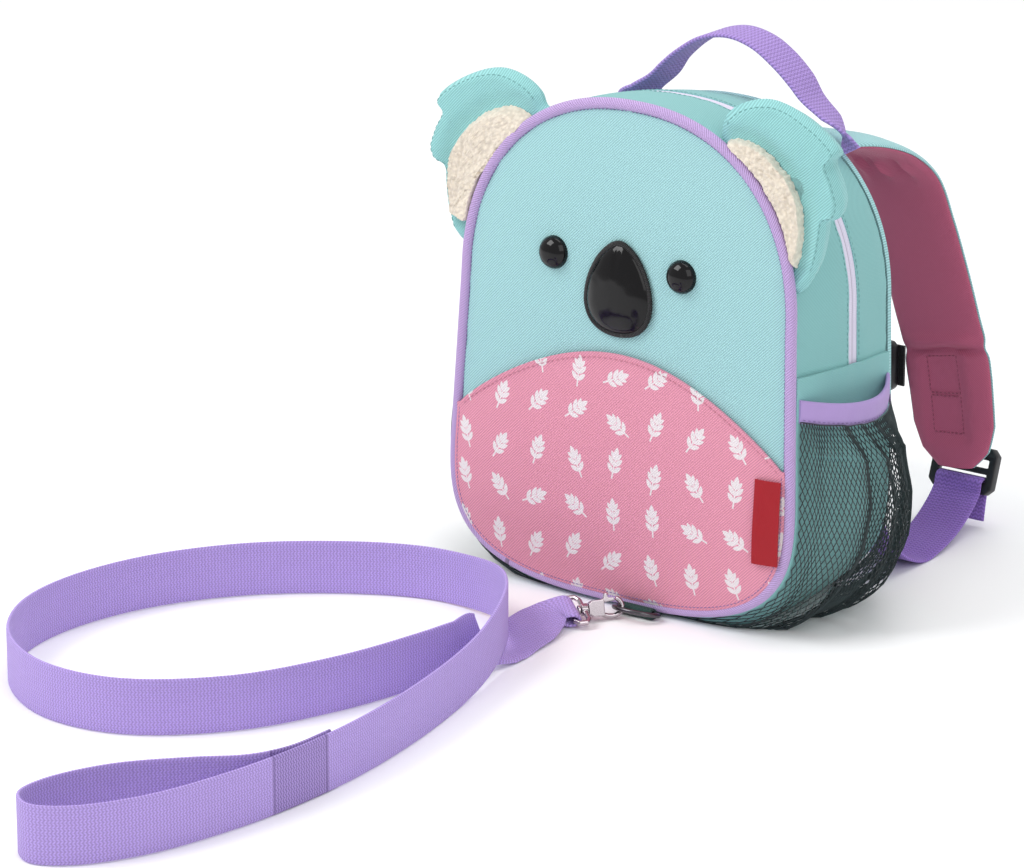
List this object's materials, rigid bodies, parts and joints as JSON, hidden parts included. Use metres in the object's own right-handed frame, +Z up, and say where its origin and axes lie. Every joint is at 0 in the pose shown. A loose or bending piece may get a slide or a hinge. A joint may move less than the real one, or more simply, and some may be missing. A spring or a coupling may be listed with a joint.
{
  "type": "toddler harness backpack",
  "caption": "Small animal-faced zipped backpack with ears, net side pockets, padded shoulder straps, a carry handle and a clip-on webbing tether",
  "frame": {"origin": "on the floor at the middle of the bag's flat base", "axes": "+Z up, the animal face towards -Y, the shoulder straps towards +Y, +X to the viewer's right"},
  "size_m": [0.2954, 0.5713, 0.246],
  "materials": {
    "shell": "light mint twill",
    "gusset": "darker mint twill",
    "pink": "pink printed twill",
    "piping": "lavender corded piping",
    "binding": "lavender grosgrain",
    "handle_web": "violet woven webbing",
    "tether_web": "light lavender woven webbing",
    "fleece": "cream sherpa fleece",
    "patent": "glossy black patent",
    "thread": "black satin stitch",
    "label": "red woven tab",
    "zip": "pale zip tape and coil",
    "net": "charcoal green net",
    "lining": "dusty rose lining",
    "lower_web": "purple woven webbing",
    "black_plastic": "semi-gloss black",
    "chrome": "bright chrome",
    "steel": "dark nickel",
    "tab_web": "dark green webbing"
  },
  "bodies": {
    "bag": {"front_panel": "shell", "belly_panel": "pink", "front_piping": "piping", "gusset_front": "gusset", "zip_tape": "zip", "gusset_back": "gusset", "lower_band": "gusset", "back_panel": "shell", "zip_slider": "zip", "label_tab": "label", "eye_left": "patent", "eye_right": "patent", "nose_rim": "thread", "nose": "patent", "ear_left": "shell", "ear_right": "shell", "ear_fleece_left": "fleece", "ear_fleece_right": "fleece", "pocket_mesh_left": "net", "pocket_mesh_right": "net", "pocket_binding_left": "binding", "pocket_binding_right": "binding", "handle": "handle_web", "strap_pad_left": "shell", "strap_pad_right": "shell", "strap_lining_left": "lining", "strap_lining_right": "lining", "lower_webbing_left": "lower_web", "lower_webbing_right": "lower_web", "ladder_lock_left": "black_plastic", "ladder_lock_right": "black_plastic", "buckle_socket": "black_plastic", "buckle_plug": "black_plastic", "chest_webbing_right": "black_plastic", "chest_webbing_left": "black_plastic", "ring": "steel", "ring_tab": "tab_web", "swivel_eye": "chrome", "tether": "tether_web"},
    "hook": {"hook_body": "chrome"},
    "gate": {"hook_gate": "chrome"}
  },
  "joints": [
    {"name": "hook_swivel", "type": "hinge", "parent": "bag", "child": "hook", "pos_m": [0.00089, -0.06966, 0.0055], "axis": [0.6198, 0.7848, 0], "range_deg": [-12, 12]},
    {"name": "gate_spring", "type": "hinge", "parent": "hook", "child": "gate", "pos_m": [0.00484, -0.06335, 0.00776], "axis": [0.7375, -0.5824, 0.342], "range_deg": [-14, 0], "stiffness_Nm_per_rad": 0.01, "springref_deg": 17.19}
  ]
}
